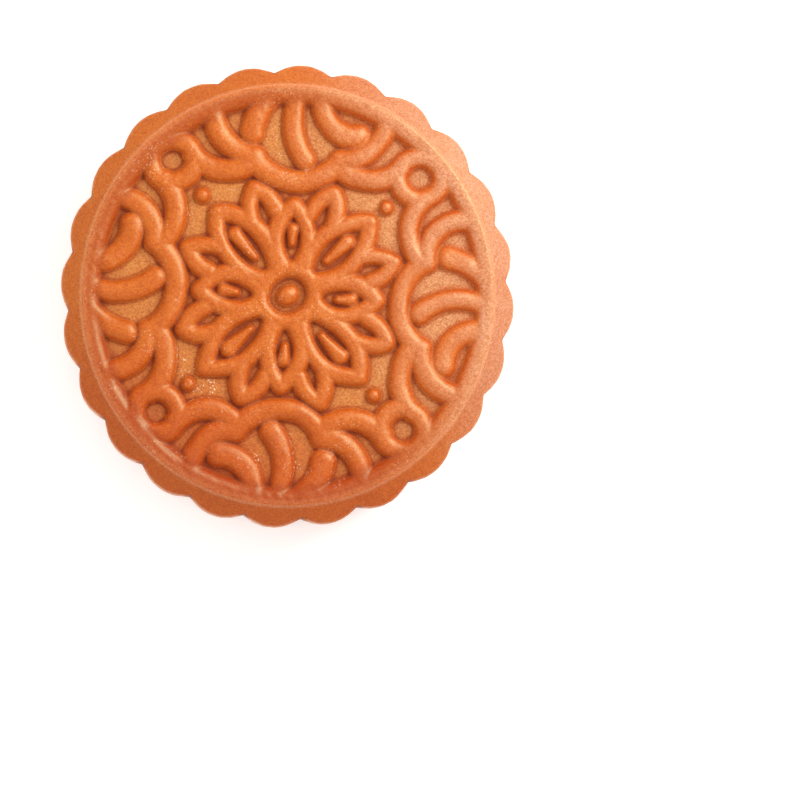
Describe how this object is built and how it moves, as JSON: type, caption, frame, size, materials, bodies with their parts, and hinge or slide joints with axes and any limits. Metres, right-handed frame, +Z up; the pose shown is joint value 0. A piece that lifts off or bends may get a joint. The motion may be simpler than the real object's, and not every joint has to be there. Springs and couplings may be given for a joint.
{
  "type": "mooncake",
  "caption": "Whole round mooncake with a scalloped wall, a bevelled shoulder, and a moulded top with a rope border, corner rings and a lotus",
  "frame": {"origin": "centre of the flat base, on the surface that the cake stands on", "axes": "+Z points up through the moulded top; +Y points to the middle of one of the four border panels"},
  "size_m": [0.0792, 0.0808, 0.035],
  "materials": {
    "crust": "baked golden-brown pastry with a thin egg glaze"
  },
  "bodies": {
    "root": {"mooncake": "crust"}
  },
  "joints": []
}
